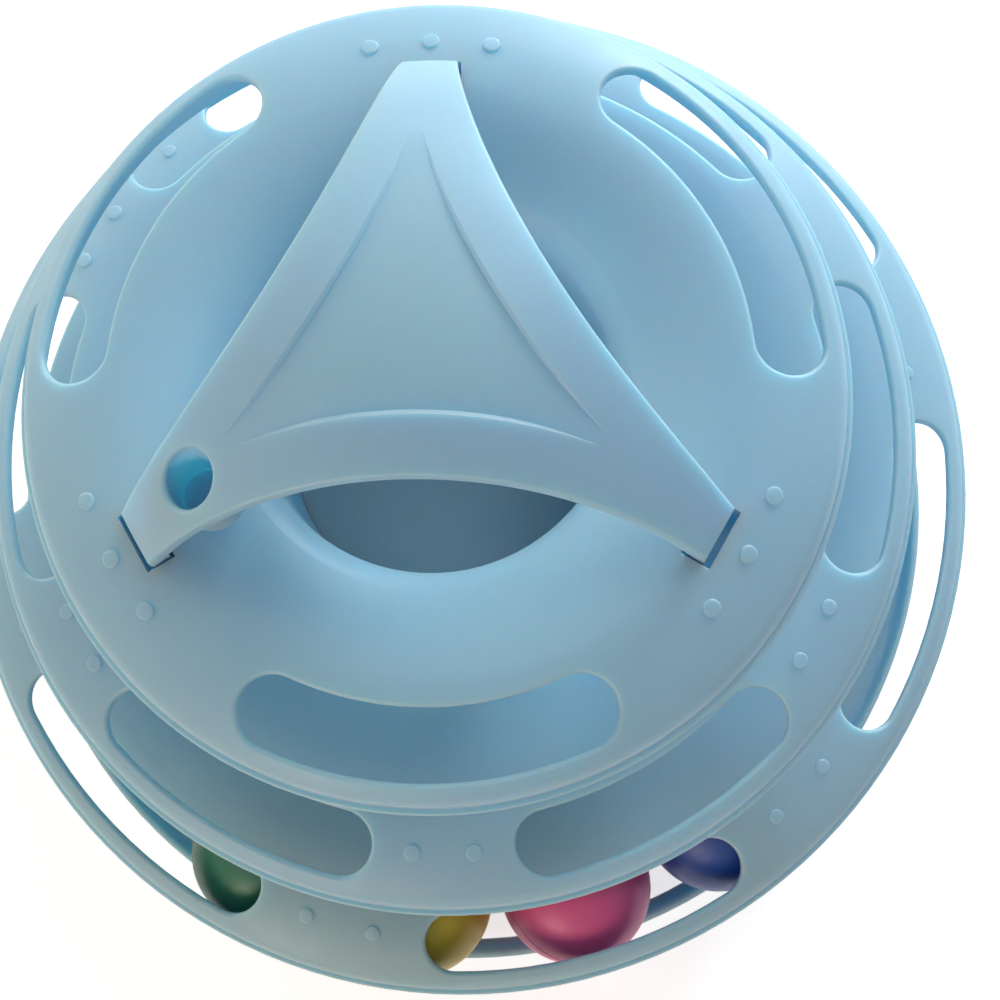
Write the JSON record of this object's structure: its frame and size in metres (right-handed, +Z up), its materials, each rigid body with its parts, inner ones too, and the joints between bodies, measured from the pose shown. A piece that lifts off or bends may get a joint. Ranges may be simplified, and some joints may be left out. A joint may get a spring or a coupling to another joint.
{
  "type": "cat ball track toy",
  "caption": "Round tower of stacked roofed ball tracks with paw slots, on a tray, under a domed arm cap with a wand socket; a cat bats loose hollow balls round the tracks.",
  "frame": {"origin": "on the tower's axis, at the level of the floor that the pads stand on", "axes": "+Z up along the tower's axis, +Y towards one arm of the cap; the arm with the wand socket is 120 degrees further round"},
  "size_m": [0.25, 0.25, 0.1672],
  "materials": {
    "blue_plastic": "satin pale blue moulded plastic",
    "pad_rubber": "soft pale grey",
    "green_ball": "glossy green",
    "yellow_ball": "glossy yellow",
    "pink_ball": "glossy pink",
    "blue_ball": "glossy blue"
  },
  "bodies": {
    "base": {"base_tray": "blue_plastic", "foot_pad_1": "pad_rubber", "foot_pad_2": "pad_rubber", "foot_pad_3": "pad_rubber", "foot_pad_4": "pad_rubber", "foot_pad_5": "pad_rubber", "foot_pad_6": "pad_rubber"},
    "bottom_tier": {"bottom_tier": "blue_plastic"},
    "middle_tier": {"middle_tier": "blue_plastic"},
    "top_tier": {"top_tier": "blue_plastic"},
    "cap": {"triangle_cap": "blue_plastic"},
    "ball_green": {"ball_green_upper": "green_ball", "ball_green_lower": "green_ball"},
    "ball_yellow": {"ball_yellow_upper": "yellow_ball", "ball_yellow_lower": "yellow_ball"},
    "ball_pink": {"ball_pink_upper": "pink_ball", "ball_pink_lower": "pink_ball"},
    "ball_blue": {"ball_blue_upper": "blue_ball", "ball_blue_lower": "blue_ball"}
  },
  "joints": [
    {"name": "bottom_tier_lift", "type": "slide", "parent": "base", "child": "bottom_tier", "axis": [0, 0, 1], "range_m": [0, 0.06]},
    {"name": "middle_tier_lift", "type": "slide", "parent": "bottom_tier", "child": "middle_tier", "axis": [0, 0, 1], "range_m": [0, 0.06]},
    {"name": "top_tier_lift", "type": "slide", "parent": "middle_tier", "child": "top_tier", "axis": [0, 0, 1], "range_m": [0, 0.06]},
    {"name": "cap_lift", "type": "slide", "parent": "top_tier", "child": "cap", "axis": [0, 0, 1], "range_m": [0, 0.04]},
    {"name": "green_roll", "type": "hinge", "parent": "base", "child": "ball_green", "pos_m": [0, 0, 0.0233], "axis": [0, 0, 1], "continuous": true},
    {"name": "yellow_roll", "type": "hinge", "parent": "ball_green", "child": "ball_yellow", "pos_m": [0, 0, 0.0233], "axis": [0, 0, 1], "range_deg": [0, 85]},
    {"name": "pink_roll", "type": "hinge", "parent": "ball_yellow", "child": "ball_pink", "pos_m": [0, 0, 0.0233], "axis": [0, 0, 1], "range_deg": [0, 85]},
    {"name": "blue_roll", "type": "hinge", "parent": "ball_pink", "child": "ball_blue", "pos_m": [0, 0, 0.0233], "axis": [0, 0, 1], "range_deg": [0, 85]}
  ]
}
